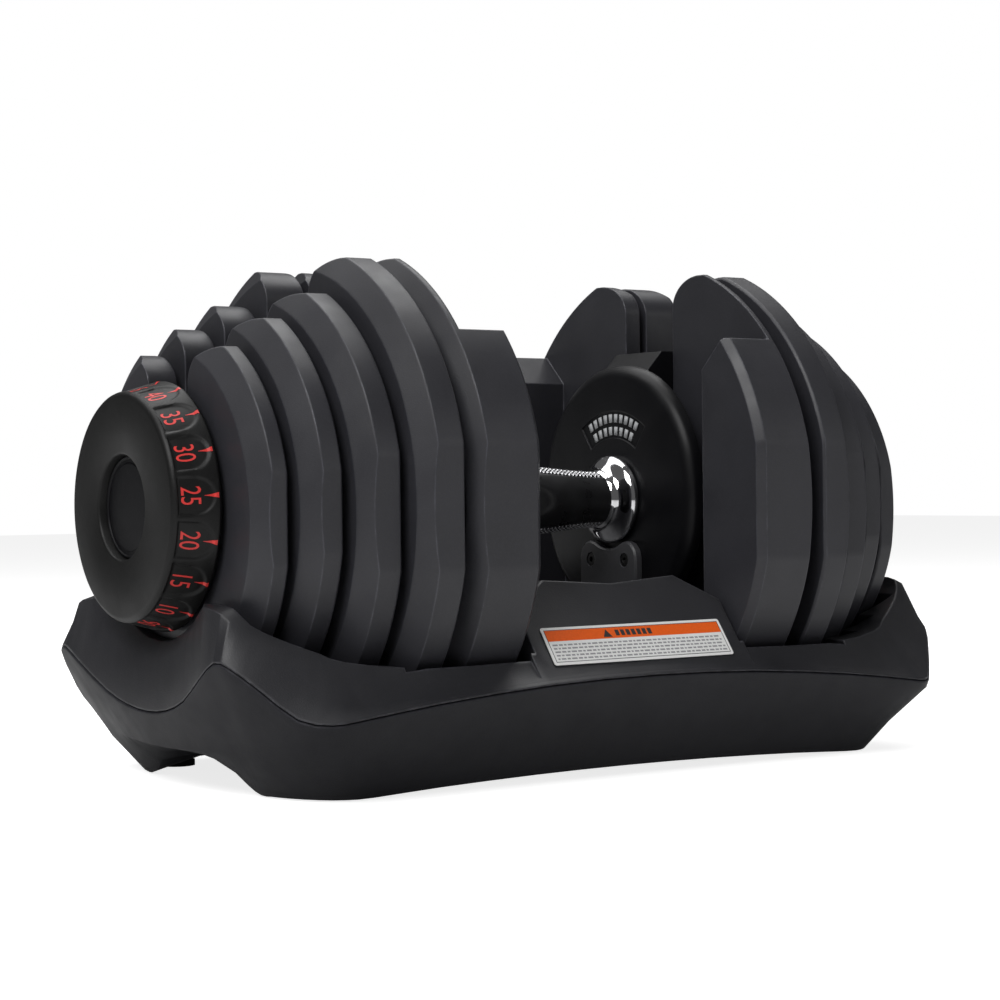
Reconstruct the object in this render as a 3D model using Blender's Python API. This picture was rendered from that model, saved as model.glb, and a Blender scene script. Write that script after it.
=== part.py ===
"""Adjustable dumbbell resting in its storage base, in metres.

X runs along the grip, the front of the base faces -Y and Z is up. The ten weight plates stand in
the base with slots open at the top, so the handle lifts straight out of them. Each end carries a
numbered dial on a selector spindle. Its discs hook under a tab on every plate that the dialled
weight needs. The dials are shown at the setting for 45 lb, where plates 1 and 5 are hooked.
"""

import math

import bmesh
import bpy
from mathutils import Vector

# Overall layout
AXIS_Z = 0.1300          # height of the handle axis above the floor
DIAL_FACE_X = 0.2150     # outer face of a dial, from the middle of the handle
GAP = 0.0003             # clearance between pieces that touch

# Weight plates, listed from the outermost to the innermost:
# inner face x, outer face x, half width, ear top z, upper kink z, lower kink z, bottom z, arc centre z
PLATES = (
    (0.1756, 0.1904, 0.0860, 0.2020, 0.1450, 0.1075, 0.0520, 0.1245),
    (0.1544, 0.1712, 0.0970, 0.2150, 0.1450, 0.1060, 0.0440, 0.1274),
    (0.1312, 0.1500, 0.1080, 0.2270, 0.1520, 0.1010, 0.0360, 0.1264),
    (0.1058, 0.1268, 0.1205, 0.2445, 0.1570, 0.0930, 0.0240, 0.1290),
    (0.0640, 0.1014, 0.1215, 0.2450, 0.1570, 0.0930, 0.0240, 0.1290),
)
LOWER_SLOPE = 0.53       # how far a plate narrows per metre below its lower kink
PLATE_BEVEL = 0.0050     # wide bevel round the outer face of a plate
SLOT_HALF = 0.0200       # half width of the slot that the handle drops into
EAR_ROUND = 0.0130       # rounding where the slot opens at the top
WEB_X = 0.0920           # inner face of the thin web of plate 5
BLOCK_IN_Y = 0.0775      # inner edge of the thick blocks of plate 5
BLOCK_TOP_Z = 0.2090
BLOCK_LOW_Z = 0.0400

# Selector
SETTINGS = 17            # 10 lb to 90 lb in steps of 5 lb
REST_SETTING = 7         # 45 lb
WEIGHT_STEPS = (1, 2, 3, 4, 6)   # plate weights in steps of 2.5 lb, outermost first
SPINDLE_R = 0.0090
AXLE_R = 0.0050
DISC_R = 0.0376
FLANGE_IN_R = 0.0330
FLANGE_OUT_R = 0.0372
DISC_HUB_R = 0.0130
TAB_TOP = 0.0280         # depth of a plate's tab below the axis
TAB_LOW = 0.0322
TAB_HALF = 0.0042
TAB_OUT = 0.0023         # how far the tab stands out of the plate face
WHEEL_R = 0.0200
NOTCH_FLOOR_R = 0.0150
LOCK_TRAVEL = 0.0060
GATE_LOW_Z = 0.0645      # bottom of the lock slide, which rests on a post of the base

# Dial
DIAL_RING_X = 0.1930     # inner end of the numbered ring
DIAL_FACE_R = 0.0530
DIAL_RING_R = 0.0578
RECESS_R = 0.0239

# Handle
GRIP_END_X = 0.0545
GRIP_MID_R = 0.0180
GRIP_END_R = 0.0145
STRIP_HALF = math.radians(33)    # half angle of the knurled chrome strips
GUARD_X = 0.0670
GUARD_BACK_X = 0.0764
GUARD_R = 0.0640
POCKET_X = 0.0804
GUARD_REAR_X = 0.0834
TOWER_TOP_Z = AXIS_Z + 0.0770
TOWER_HALF = SLOT_HALF - 0.0006
BRACKET_DEPTH = 0.0045   # how far the lock bracket stands out of the guard
SCREW_Y = 0.0143
SCREW_Z = AXIS_Z - 0.0315

# Storage base
SEAM_X = 0.2090
SEAM_Y = 0.1220
ROOF_X = 0.1980
ROOF_Y = 0.1080
WELL_IN_X = 0.0605
HUMP_FOOT = (0.1135, 0.0540)     # y, z where the front slope of the hump starts
HUMP_SLOPE = 1.327
WALL = 0.0026
SCOOP_R = 0.0610
SCOOP_END_R = 0.0800
LABEL_HALF = 0.0530

# Quarter of the seam between tray and shell: x, y, z
SEAM = (
    (0.0000, 0.1220, 0.0488),
    (0.0605, 0.1220, 0.0473),
    (0.1200, 0.1220, 0.0427),
    (0.1600, 0.1220, 0.0380),
    (0.1745, 0.1195, 0.0365),
    (0.1860, 0.1100, 0.0390),
    (0.1980, 0.0975, 0.0515),
    (0.2065, 0.0870, 0.0605),
    (0.2090, 0.0770, 0.0625),
    (0.2080, 0.0620, 0.0550),
    (0.2050, 0.0400, 0.0435),
    (0.2035, 0.0200, 0.0378),
    (0.2030, 0.0000, 0.0360),
)
# Tray roof above each seam point: inset and z of the bevel top, then x, y, z of the roof edge
ROOF = (
    (0.0075, 0.0530, 0.0000, 0.1080, 0.0580),
    (0.0075, 0.0516, 0.0605, 0.1080, 0.0580),
    (0.0075, 0.0474, 0.1200, 0.1080, 0.0574),
    (0.0078, 0.0430, 0.1570, 0.1010, 0.0618),
    (0.0090, 0.0475, 0.1660, 0.0960, 0.0654),
    (0.0100, 0.0565, 0.1730, 0.0920, 0.0684),
    (0.0100, 0.0680, 0.1830, 0.0860, 0.0730),
    (0.0085, 0.0765, 0.1920, 0.0800, 0.0785),
    (0.0060, 0.0835, 0.1970, 0.0740, 0.0858),
    (0.0045, 0.0860, 0.1980, 0.0600, 0.0870),
    (0.0040, 0.0860, 0.1980, 0.0400, 0.0870),
    (0.0040, 0.0860, 0.1980, 0.0200, 0.0870),
    (0.0040, 0.0860, 0.1980, 0.0000, 0.0870),
)
# Shell below each seam point: inset and z of the crease, inset and z of the bottom edge
SKIRT = (
    (0.0160, 0.0250, 0.0260, 0.0045),
    (0.0160, 0.0238, 0.0260, 0.0040),
    (0.0160, 0.0198, 0.0260, 0.0025),
    (0.0160, 0.0155, 0.0260, 0.0008),
    (0.0160, 0.0150, 0.0260, 0.0006),
    (0.0160, 0.0150, 0.0265, 0.0006),
    (0.0180, 0.0160, 0.0300, 0.0006),
    (0.0200, 0.0190, 0.0340, 0.0006),
    (0.0200, 0.0210, 0.0350, 0.0006),
    (0.0170, 0.0210, 0.0330, 0.0040),
    (0.0120, 0.0200, 0.0270, 0.0130),
    (0.0090, 0.0195, 0.0230, 0.0160),
    (0.0085, 0.0190, 0.0220, 0.0165),
)
# Stepped wells, innermost first: outer x, half depth at the top, floor z
WELLS = (
    (0.1300, 0.1080, 0.0240),
    (0.1530, 0.0955, 0.0360),
    (0.1726, 0.0860, 0.0440),
    (0.1920, 0.0780, 0.0520),
)
FOOT_X = 0.1480
FOOT_Y = 0.0800


# ---------------------------------------------------------------- materials

def material(name, colour, roughness, metallic=0.0):
    """A Principled material for one sub-part."""
    mat = bpy.data.materials.new(name)
    mat.use_nodes = True
    shader = mat.node_tree.nodes["Principled BSDF"]
    shader.inputs["Base Color"].default_value = (*colour, 1.0)
    shader.inputs["Roughness"].default_value = roughness
    shader.inputs["Metallic"].default_value = metallic
    return mat


LOOKS = {
    "tray_plastic": ((0.085, 0.086, 0.090), 0.55, 0.0),
    "shell_plastic": ((0.060, 0.061, 0.066), 0.58, 0.0),
    "plate_coat": ((0.075, 0.075, 0.080), 0.48, 0.0),
    "dial_plastic": ((0.030, 0.031, 0.030), 0.42, 0.0),
    "cap_plastic": ((0.020, 0.020, 0.020), 0.50, 0.0),
    "guard_plastic": ((0.022, 0.022, 0.024), 0.50, 0.0),
    "chrome": ((0.80, 0.80, 0.81), 0.08, 1.0),
    "steel": ((0.52, 0.53, 0.54), 0.30, 1.0),
    "zinc": ((0.42, 0.42, 0.42), 0.35, 1.0),
    "grip_rubber": ((0.015, 0.015, 0.016), 0.35, 0.0),
    "foot_rubber": ((0.020, 0.020, 0.020), 0.85, 0.0),
    "disc_nylon": ((0.050, 0.050, 0.055), 0.45, 0.0),
    "label_vinyl": ((0.85, 0.85, 0.84), 0.40, 0.0),
}


# ---------------------------------------------------------------- mesh helpers

def add_mesh(name, verts, faces):
    """A closed mesh object whose faces point outwards."""
    mesh = bpy.data.meshes.new(name)
    mesh.from_pydata([tuple(v) for v in verts], [], faces)
    shape = bmesh.new()
    shape.from_mesh(mesh)
    bmesh.ops.remove_doubles(shape, verts=shape.verts, dist=1e-6)
    bmesh.ops.dissolve_degenerate(shape, dist=1e-6, edges=shape.edges)
    bmesh.ops.triangulate(shape, faces=shape.faces)
    bmesh.ops.recalc_face_normals(shape, faces=shape.faces)
    if shape.calc_volume(signed=True) < 0:
        bmesh.ops.reverse_faces(shape, faces=shape.faces)
    shape.to_mesh(mesh)
    shape.free()
    obj = bpy.data.objects.new(name, mesh)
    bpy.context.scene.collection.objects.link(obj)
    return obj


def loft(name, rings, closed=False, cap=None):
    """Skin through rings of equal length; the end rings are capped unless the loft closes."""
    count = len(rings[0])
    verts = [point for ring in rings for point in ring]
    faces = []
    spans = len(rings) if closed else len(rings) - 1
    for row in range(spans):
        below = row * count
        above = ((row + 1) % len(rings)) * count
        for k in range(count):
            after = (k + 1) % count
            faces.append((below + k, below + after, above + after, above + k))
    if not closed:
        for start in (0, len(verts) - count):
            for face in cap or (range(count),):
                faces.append(tuple(start + k for k in face))
    return add_mesh(name, verts, faces)


def revolve(name, profile, segments, side=1.0, phase=0.0):
    """A ring round the handle axis from a closed profile of (x, radius)."""
    rings = []
    for k in range(segments):
        angle = phase + math.tau * k / segments
        y, z = -math.sin(angle), math.cos(angle)
        rings.append([(side * x, r * y, AXIS_Z + r * z) for x, r in profile])
    return loft(name, rings, closed=True)


def prism_x(name, outline, x_low, x_high):
    """An outline of (y, z) swept along X."""
    return loft(name, [[(x, y, z) for y, z in outline] for x in (x_low, x_high)])


def cylinder_z(name, centre, radius, z_low, z_high, segments=20):
    """An upright cylinder."""
    turns = [math.tau * k / segments for k in range(segments)]
    flat = [(centre[0] + radius * math.cos(t), centre[1] + radius * math.sin(t)) for t in turns]
    return loft(name, [[(x, y, z) for x, y in flat] for z in (z_low, z_high)])


def box(name, x_range, y_range, z_range):
    """An axis-aligned block."""
    (x0, x1), (y0, y1), z_pair = sorted(x_range), sorted(y_range), sorted(z_range)
    return loft(name, [[(x0, y0, z), (x1, y0, z), (x1, y1, z), (x0, y1, z)] for z in z_pair])


def combine(target, other, operation):
    """Apply one exact Boolean and remove the second shape."""
    modifier = target.modifiers.new("combine", "BOOLEAN")
    modifier.operation = operation
    modifier.solver = "EXACT"
    modifier.object = other
    bpy.context.view_layer.update()
    graph = bpy.context.evaluated_depsgraph_get()
    result = bpy.data.meshes.new_from_object(target.evaluated_get(graph))
    target.modifiers.clear()
    target.data = result
    bpy.data.objects.remove(other)
    clean(target)
    return target


def clean(obj):
    """Weld the tiny leftovers of a Boolean."""
    shape = bmesh.new()
    shape.from_mesh(obj.data)
    bmesh.ops.remove_doubles(shape, verts=shape.verts, dist=2e-6)
    bmesh.ops.dissolve_degenerate(shape, dist=2e-6, edges=shape.edges)
    shape.to_mesh(obj.data)
    shape.free()


def cut(target, cutter):
    """Take the cutter's shape away from the target."""
    return combine(target, cutter, "DIFFERENCE")


def join(target, other):
    """Make one body of two overlapping shapes."""
    return combine(target, other, "UNION")


def inset_outline(outline, distance):
    """An outline of (y, z), drawn anticlockwise, moved inwards with mitred corners."""
    moved = []
    count = len(outline)
    for k in range(count):
        before = Vector(outline[k - 1])
        here = Vector(outline[k])
        after = Vector(outline[(k + 1) % count])
        first = (here - before).normalized()
        second = (after - here).normalized()
        inward = Vector((-first.y, first.x)) + Vector((-second.y, second.x))
        inward.normalize()
        square = Vector((-first.y, first.x))
        reach = distance / max(inward.dot(square), 0.35)
        moved.append(tuple(here + inward * reach))
    return moved


def both_ways(half):
    """A full outline, anticlockwise seen along -X, from its +Y half listed bottom to top."""
    return list(half) + [(-y, z) for y, z in reversed(half)]


PARENTS = {}


def pivot(name, location):
    """An empty that marks the point a moving group turns about or slides from."""
    empty = bpy.data.objects.new(name, None)
    empty.empty_display_size = 0.02
    empty.location = location
    bpy.context.scene.collection.objects.link(empty)
    bpy.context.view_layer.update()
    PARENTS[name] = empty
    return empty


def finish(obj, name, look, parent=None, smooth_angle=None):
    """Name a piece, give it its own material, its shading and its parent."""
    obj.name = name
    obj.data.name = name
    obj.data.materials.clear()
    obj.data.materials.append(material(name + "_" + look, *LOOKS[look]))
    for polygon in obj.data.polygons:
        polygon.use_smooth = smooth_angle is not None
    if smooth_angle is not None:
        obj.data.set_sharp_from_angle(angle=math.radians(smooth_angle))
    if parent:
        empty = PARENTS[parent]
        obj.parent = empty
        obj.matrix_parent_inverse = empty.matrix_world.inverted()
    return obj


# ---------------------------------------------------------------- weight plates

def plate_half(plate):
    """The +Y half of a plate outline: bottom, lower facet, side facet and arc to the ear."""
    _, _, half, ear_z, upper_z, lower_z, low_z, centre_z = plate
    toe = half - LOWER_SLOPE * (lower_z - low_z)
    points = [(toe - 0.008, low_z), (toe + 0.002, low_z + 0.005)]
    points += [(half, lower_z), (half, upper_z)]
    radius = math.hypot(half, upper_z - centre_z)
    start = math.atan2(upper_z - centre_z, half)
    end = math.asin((ear_z - 0.0012 - centre_z) / radius)
    steps = 7
    for k in range(1, steps + 1):
        angle = start + (end - start) * k / steps
        points.append((radius * math.cos(angle), centre_z + radius * math.sin(angle)))
    points.append((points[-1][0] - 0.007, ear_z))
    return points


def slot_outline(ear_z, grow=0.0):
    """The U-shaped slot, opening out with a rounded lip at the ears."""
    half = SLOT_HALF + grow
    outline = []
    for k in range(9):
        angle = math.pi * (1 + k / 8)
        outline.append((half * math.cos(angle), AXIS_Z + half * math.sin(angle)))
    lip_z = ear_z - EAR_ROUND
    lip = []
    for k in range(5):
        angle = math.pi - 0.5 * math.pi * k / 4
        y = half + EAR_ROUND + EAR_ROUND * math.cos(angle)
        lip.append((y, lip_z + EAR_ROUND * math.sin(angle) + (0.0002 if k == 4 else 0.0)))
    lip.append((half + EAR_ROUND, ear_z + 0.02))
    return outline + lip + [(-y, z) for y, z in reversed(lip)]


def weight_plate(index, side):
    """One plate: bevelled outline, slot, thick blocks on the innermost, and the lifting tab."""
    plate = PLATES[index]
    x_in, x_out, ear_z = plate[0], plate[1], plate[3]
    outline = both_ways(plate_half(plate))
    edge = 0.0036 if index == 4 else 0.0012
    levels = (
        (x_in, inset_outline(outline, edge)),
        (x_in + edge, outline),
        (x_out - PLATE_BEVEL * 0.9, outline),
        (x_out, inset_outline(outline, PLATE_BEVEL)),
    )
    solid = loft("plate", [[(side * x, y, z) for y, z in ring] for x, ring in levels])
    cut(solid, prism_x("slot", slot_outline(ear_z), side * (x_in - 0.01), side * (x_out + 0.01)))
    if index == 4:
        half = [
            (0.150, 0.000), (0.150, BLOCK_LOW_Z), (BLOCK_IN_Y, BLOCK_LOW_Z),
            (BLOCK_IN_Y, BLOCK_TOP_Z - 0.015), (BLOCK_IN_Y + 0.0155, BLOCK_TOP_Z),
            (0.150, BLOCK_TOP_Z), (0.150, 0.290),
        ]
        cut(solid, prism_x("relief", both_ways(half), side * (x_in - 0.01), side * WEB_X))
    tab = box(
        "tab",
        (side * (x_out - 0.001), side * (x_out + TAB_OUT)),
        (-TAB_HALF, TAB_HALF),
        (AXIS_Z - TAB_LOW, AXIS_Z - TAB_TOP),
    )
    return join(solid, tab)


# ---------------------------------------------------------------- selector

def setting_lifts(setting):
    """Which plates one setting lifts, taking the heaviest that fits first."""
    left = setting
    lifted = [False] * len(WEIGHT_STEPS)
    for index in reversed(range(len(WEIGHT_STEPS))):
        if WEIGHT_STEPS[index] <= left:
            lifted[index] = True
            left -= WEIGHT_STEPS[index]
    return lifted


def dial_angle(setting):
    """Where a setting sits at rest, turned from the top towards the front."""
    return (REST_SETTING - setting) * math.tau / SETTINGS


def flange_runs(index):
    """Angular runs (start, end) of the flange on one disc, opposite the settings that need it."""
    step = math.tau / SETTINGS
    needed = [setting_lifts(setting)[index] for setting in range(SETTINGS)]
    runs = []
    for setting in range(SETTINGS):
        if not needed[setting]:
            continue
        middle = dial_angle(setting) + math.pi
        trim = math.radians(1.0)
        low = middle - step / 2 + (0.0 if needed[(setting + 1) % SETTINGS] else trim)
        high = middle + step / 2 - (0.0 if needed[setting - 1] else trim)
        if runs and abs(runs[-1][0] - high) < 1e-6:
            runs[-1] = (low, runs[-1][1])
        else:
            runs.append((low, high))
    if len(runs) > 1 and abs(runs[-1][0] + math.tau - runs[0][1]) < 1e-6:
        runs[0] = (runs[0][0], runs[-1][1] + math.tau)
        runs.pop()
    return runs


def arc_outline(low, high, r_in, r_out):
    """A ring sector in (y, z), angles measured from the top towards the front."""
    steps = max(1, round((high - low) / (math.tau / 34)))
    angles = [low + (high - low) * k / steps for k in range(steps + 1)]
    outer = [(-r_out * math.sin(a), AXIS_Z + r_out * math.cos(a)) for a in angles]
    inner = [(-r_in * math.sin(a), AXIS_Z + r_in * math.cos(a)) for a in reversed(angles)]
    return outer + inner


def selector_disc(index, side):
    """The disc beside one plate: hub, web, and a flange that passes under the plate's tab."""
    face = PLATES[index][1]
    bore = SPINDLE_R + GAP
    near, web, far = face + 0.0004, face + 0.0028, face + 0.0040
    profile = (
        (near, bore), (near, DISC_HUB_R), (web, DISC_HUB_R),
        (web, DISC_R), (far, DISC_R), (far, bore),
    )
    disc = revolve("disc", profile, 18, side)
    for low, high in flange_runs(index):
        outline = arc_outline(low, high, FLANGE_IN_R, FLANGE_OUT_R)
        join(disc, prism_x("flange", outline, side * near, side * (web + 0.0006)))
    return disc


def lock_wheel(side):
    """The notched wheel, one notch for every setting."""
    outline = []
    step = math.tau / SETTINGS
    notch = ((-0.30, WHEEL_R), (-0.26, NOTCH_FLOOR_R), (0.26, NOTCH_FLOOR_R), (0.30, WHEEL_R))
    for k in range(SETTINGS):
        for offset, radius in notch:
            angle = (k + offset) * step
            outline.append((-radius * math.sin(angle), AXIS_Z + radius * math.cos(angle)))
    wheel = prism_x("wheel", outline, side * (GUARD_BACK_X + 0.0008), side * (POCKET_X - 0.0006))
    bore = circle_yz(0.0, AXIS_Z, SPINDLE_R + GAP, 20)
    return cut(wheel, prism_x("bore", bore, side * 0.070, side * 0.090))


def spindle(side):
    """The tube that carries the discs, the lock wheel and the dial."""
    start, end = GUARD_BACK_X + 0.0005, 0.2057
    profile = ((start, AXLE_R + GAP), (start, SPINDLE_R), (end, SPINDLE_R), (end, AXLE_R + GAP))
    return revolve("spindle", profile, 20, side)


def dial_knob(side):
    """The numbered ring and its face, with a shallow scallop for every number."""
    bore = SPINDLE_R + GAP
    profile = (
        (0.1970, bore, 0.0), (0.1970, 0.0140, 0.0), (0.2040, 0.0140, 0.0), (0.2040, 0.0440, 0.0),
        (0.1932, 0.0535, 0.0), (DIAL_RING_X, DIAL_RING_R - 0.0012, 0.4),
        (DIAL_RING_X + 0.0015, DIAL_RING_R, 1.0), (0.2040, 0.0552, 0.9),
        (0.2122, DIAL_FACE_R, 0.0), (DIAL_FACE_X, 0.0505, 0.0), (DIAL_FACE_X, RECESS_R, 0.0),
        (0.2060, RECESS_R, 0.0), (0.2060, bore, 0.0),
    )
    per_setting = 3
    rings = []
    for k in range(SETTINGS * per_setting):
        angle = math.tau * k / (SETTINGS * per_setting)
        wave = 0.5 - 0.5 * math.cos(SETTINGS * angle)
        ring = []
        for x, radius, depth in profile:
            r = radius - 0.0011 * depth * (1.0 - wave)
            ring.append((side * x, -r * math.sin(angle), AXIS_Z + r * math.cos(angle)))
        rings.append(ring)
    return loft("dial", rings, closed=True)


def dial_cap(side):
    """The cap in the dial's recess, hollow behind for the axle bolt."""
    profile = (
        (0.2063, 0.0092), (0.2063, RECESS_R - GAP), (0.2104, RECESS_R - GAP),
        (0.2109, RECESS_R - 0.0009), (0.2109, 0.0), (0.2096, 0.0), (0.2096, 0.0092),
    )
    return solid_of_revolution("cap", profile, 24, side)


def solid_of_revolution(name, profile, segments, side):
    """Revolve a profile that touches the axis at its two r = 0 points."""
    first = [p for p in profile if p[1] > 0]
    touching = [p for p in profile if p[1] == 0]
    verts, faces = [], []
    count = len(first)
    for k in range(segments):
        angle = math.tau * k / segments
        for x, r in first:
            verts.append((side * x, -r * math.sin(angle), AXIS_Z + r * math.cos(angle)))
    start = profile.index(touching[0])
    outer = first.index(profile[start - 1])
    inner = first.index(profile[(start + len(touching)) % len(profile)])
    poles = []
    for x, _ in (touching[0], touching[-1]):
        poles.append(len(verts))
        verts.append((side * x, 0.0, AXIS_Z))
    for k in range(segments):
        here, after = k * count, ((k + 1) % segments) * count
        j = inner
        while j != outer:
            n = (j + 1) % count
            faces.append((here + j, here + n, after + n, after + j))
            j = n
        faces.append((here + outer, poles[0], after + outer))
        faces.append((here + inner, after + inner, poles[1]))
    return add_mesh(name, verts, faces)


def axle_bolt(side):
    """The bolt that holds a dial on the end of the axle."""
    profile = (
        (0.1965, 0.0), (0.1965, 0.0029), (0.2061, 0.0029), (0.2061, 0.0083), (0.2086, 0.0083),
        (0.2093, 0.0076), (0.2093, 0.0),
    )
    rolled = profile[1:] + profile[:1]
    bolt = solid_of_revolution("bolt", rolled, 16, side)
    socket = [
        (0.0032 * math.cos(math.tau * k / 6), AXIS_Z + 0.0032 * math.sin(math.tau * k / 6))
        for k in range(6)
    ]
    return cut(bolt, prism_x("socket", socket, side * 0.2070, side * 0.2200))


def lock_slide(side):
    """The sliding gate that drops a tooth into the lock wheel when the handle leaves the base."""
    x_low, x_high = GUARD_BACK_X + 0.0007, POCKET_X - 0.0007
    wide = WHEEL_R + 0.0068
    outer = [
        (0.0140, GATE_LOW_Z), (0.0140, AXIS_Z - 0.0350),
        (wide, AXIS_Z - 0.0250), (wide, AXIS_Z + 0.0380),
    ]
    gate = prism_x("gate", both_ways(outer), side * x_low, side * x_high)
    window_top = AXIS_Z + WHEEL_R + LOCK_TRAVEL + 0.0006
    hole_half = WHEEL_R + 0.0018
    hole = [(hole_half, AXIS_Z - WHEEL_R - 0.0025), (hole_half, window_top)]
    cut(gate, prism_x("window", both_ways(hole), side * 0.070, side * 0.090))
    tooth = [(0.0010, AXIS_Z + NOTCH_FLOOR_R + LOCK_TRAVEL + 0.0002), (0.0017, window_top + 0.0009)]
    return join(gate, prism_x("tooth", both_ways(tooth), side * x_low, side * x_high))


def spring(side):
    """The small coil spring that pushes the lock slide down."""
    low_z, high_z = AXIS_Z + 0.0384, AXIS_Z + 0.0534
    centre_x = side * 0.5 * (GUARD_BACK_X + POCKET_X)
    coil_r, wire_r = 0.00115, 0.00038
    turns, per_turn, around = 6, 8, 4
    rings = []
    total = turns * per_turn
    for k in range(total + 1):
        angle = math.tau * k / per_turn
        middle = Vector((
            centre_x + coil_r * math.cos(angle),
            coil_r * math.sin(angle),
            low_z + wire_r + (high_z - low_z - 2 * wire_r) * k / total,
        ))
        out = Vector((math.cos(angle), math.sin(angle), 0.0))
        up = Vector((0.0, 0.0, 1.0))
        ring = []
        for j in range(around):
            turn = math.tau * j / around
            ring.append(middle + wire_r * (math.cos(turn) * out + math.sin(turn) * up))
        rings.append(ring)
    return loft("spring", rings)


# ---------------------------------------------------------------- handle

def grip_radius(x):
    """The barrel shape of the grip."""
    t = min(abs(x) / GRIP_END_X, 1.0)
    return GRIP_END_R + (GRIP_MID_R - GRIP_END_R) * (0.5 + 0.5 * math.cos(math.pi * t))


def strip_angles(low, high, steps):
    """Evenly spaced angles, both ends included."""
    return [low + (high - low) * k / steps for k in range(steps + 1)]


def grip_stations():
    """Positions along the grip at which its outline is drawn."""
    return [GRIP_END_X * k / 4 for k in range(-4, 5)]


def grip_core():
    """The chrome core: round at the knurled strips, sunk where the rubber sits."""
    depth = 0.0026
    rings = []
    for x in grip_stations():
        radius = grip_radius(x)
        ring = []
        for quarter in range(4):
            sunk = quarter % 2 == 1
            r = radius - depth if sunk else radius
            half = math.pi / 2 - STRIP_HALF if sunk else STRIP_HALF
            middle = quarter * math.pi / 2
            for a in strip_angles(middle - half, middle + half, 4):
                ring.append((x, -r * math.sin(a), AXIS_Z + r * math.cos(a)))
        rings.append(ring)
    core = loft("core", rings)
    return cut(core, bore_cutter(AXLE_R + GAP, 0.07))


def bore_cutter(radius, reach, centre_x=0.0, segments=20):
    """A cylinder along the handle axis, for cutting bores."""
    outline = circle_yz(0.0, AXIS_Z, radius, segments)
    return prism_x("bore", outline, centre_x - reach, centre_x + reach)


def grip_rubber(direction):
    """One rubber inlay of the grip, on the front (+1) or the rear (-1)."""
    half = math.pi / 2 - STRIP_HALF - math.radians(1.2)
    middle = direction * math.pi / 2
    rings = []
    for x in grip_stations():
        x = x * 0.995
        radius = grip_radius(x)
        outer, inner = radius + 0.0004, radius - 0.0023
        angles = strip_angles(middle - half, middle + half, 6)
        ring = [(x, -outer * math.sin(a), AXIS_Z + outer * math.cos(a)) for a in angles]
        ring += [(x, -inner * math.sin(a), AXIS_Z + inner * math.cos(a)) for a in reversed(angles)]
        rings.append(ring)
    return loft("rubber", rings)


def collar(side):
    """The domed chrome collar between the grip and a guard."""
    start, end = GRIP_END_X + GAP, GUARD_X - GAP
    bore = AXLE_R + GAP
    profile = [
        (start, bore), (start, 0.0140), (start + 0.0012, 0.0152), (0.0580, 0.0166),
        (0.0600, 0.0188), (0.0620, 0.0213), (0.0638, 0.0228), (0.0655, 0.0230),
        (end, 0.0222), (end, bore),
    ]
    return revolve("collar", profile, 24, side)


def guard_outline(inset=0.0):
    """The egg-shaped outline of a guard."""
    radius = GUARD_R - inset
    points = []
    count = 32
    for k in range(count):
        angle = math.tau * k / count
        y, z = radius * math.cos(angle), radius * math.sin(angle)
        lift = 0.006 if z > 0 else 0.0
        points.append((y, AXIS_Z + z + lift * min(1.0, z / 0.02)))
    return points


def guard(side):
    """The guard beside the grip with its tower, the lock pocket and the recessed panel."""
    levels = (
        (GUARD_X, 0.0060), (GUARD_X + 0.0045, 0.0),
        (GUARD_BACK_X - 0.001, 0.0), (GUARD_BACK_X, 0.001),
    )
    rings = [[(side * x, y, z) for y, z in guard_outline(inset)] for x, inset in levels]
    body = loft("guard", rings)
    wide = WHEEL_R + 0.0110
    housing = [(wide, AXIS_Z - 0.0300), (wide, AXIS_Z + 0.0500), (wide - 0.0070, AXIS_Z + 0.0580)]
    join(body, prism_x("housing", both_ways(housing), side * (GUARD_X + 0.003), side * GUARD_REAR_X))
    tower_low_z, shelf_z = TOWER_TOP_Z - 0.0450, TOWER_TOP_Z - 0.0220
    tower = (
        (GUARD_X + 0.0036, shelf_z), (GUARD_X + 0.0036, shelf_z + 0.0065), (0.0850, TOWER_TOP_Z),
        (0.1005, TOWER_TOP_Z), (0.1005, tower_low_z), (0.0824, tower_low_z), (0.0824, shelf_z),
    )
    ends = [[(side * x, y, z) for x, z in tower] for y in (-TOWER_HALF, TOWER_HALF)]
    join(body, loft("tower", ends))
    room = WHEEL_R + 0.0073
    pocket = [(room, 0.0400), (room, AXIS_Z + 0.0540)]
    cut(body, prism_x("pocket", both_ways(pocket), side * GUARD_BACK_X, side * POCKET_X))
    middle = side * 0.5 * (GUARD_X + GUARD_BACK_X)
    cut(body, bore_cutter(AXLE_R + GAP, 0.008, middle))
    cut(body, bore_cutter(SPINDLE_R + GAP, 0.006, side * 0.0840, 24))
    panel = arc_outline(-math.radians(34), math.radians(34), 0.0325, 0.0455)
    cut(body, prism_x("panel", panel, side * (GUARD_X - 0.002), side * (GUARD_X + 0.001)))
    for y in (-SCREW_Y, SCREW_Y):
        hole = circle_yz(y, SCREW_Z, 0.0021, 10)
        cut(body, prism_x("hole", hole, side * (GUARD_X - 0.002), side * (GUARD_X + 0.0062)))
    return body


def circle_yz(y, z, radius, segments):
    """A circle of (y, z) points."""
    turns = [math.tau * k / segments for k in range(segments)]
    return [(y + radius * math.cos(t), z + radius * math.sin(t)) for t in turns]


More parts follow.
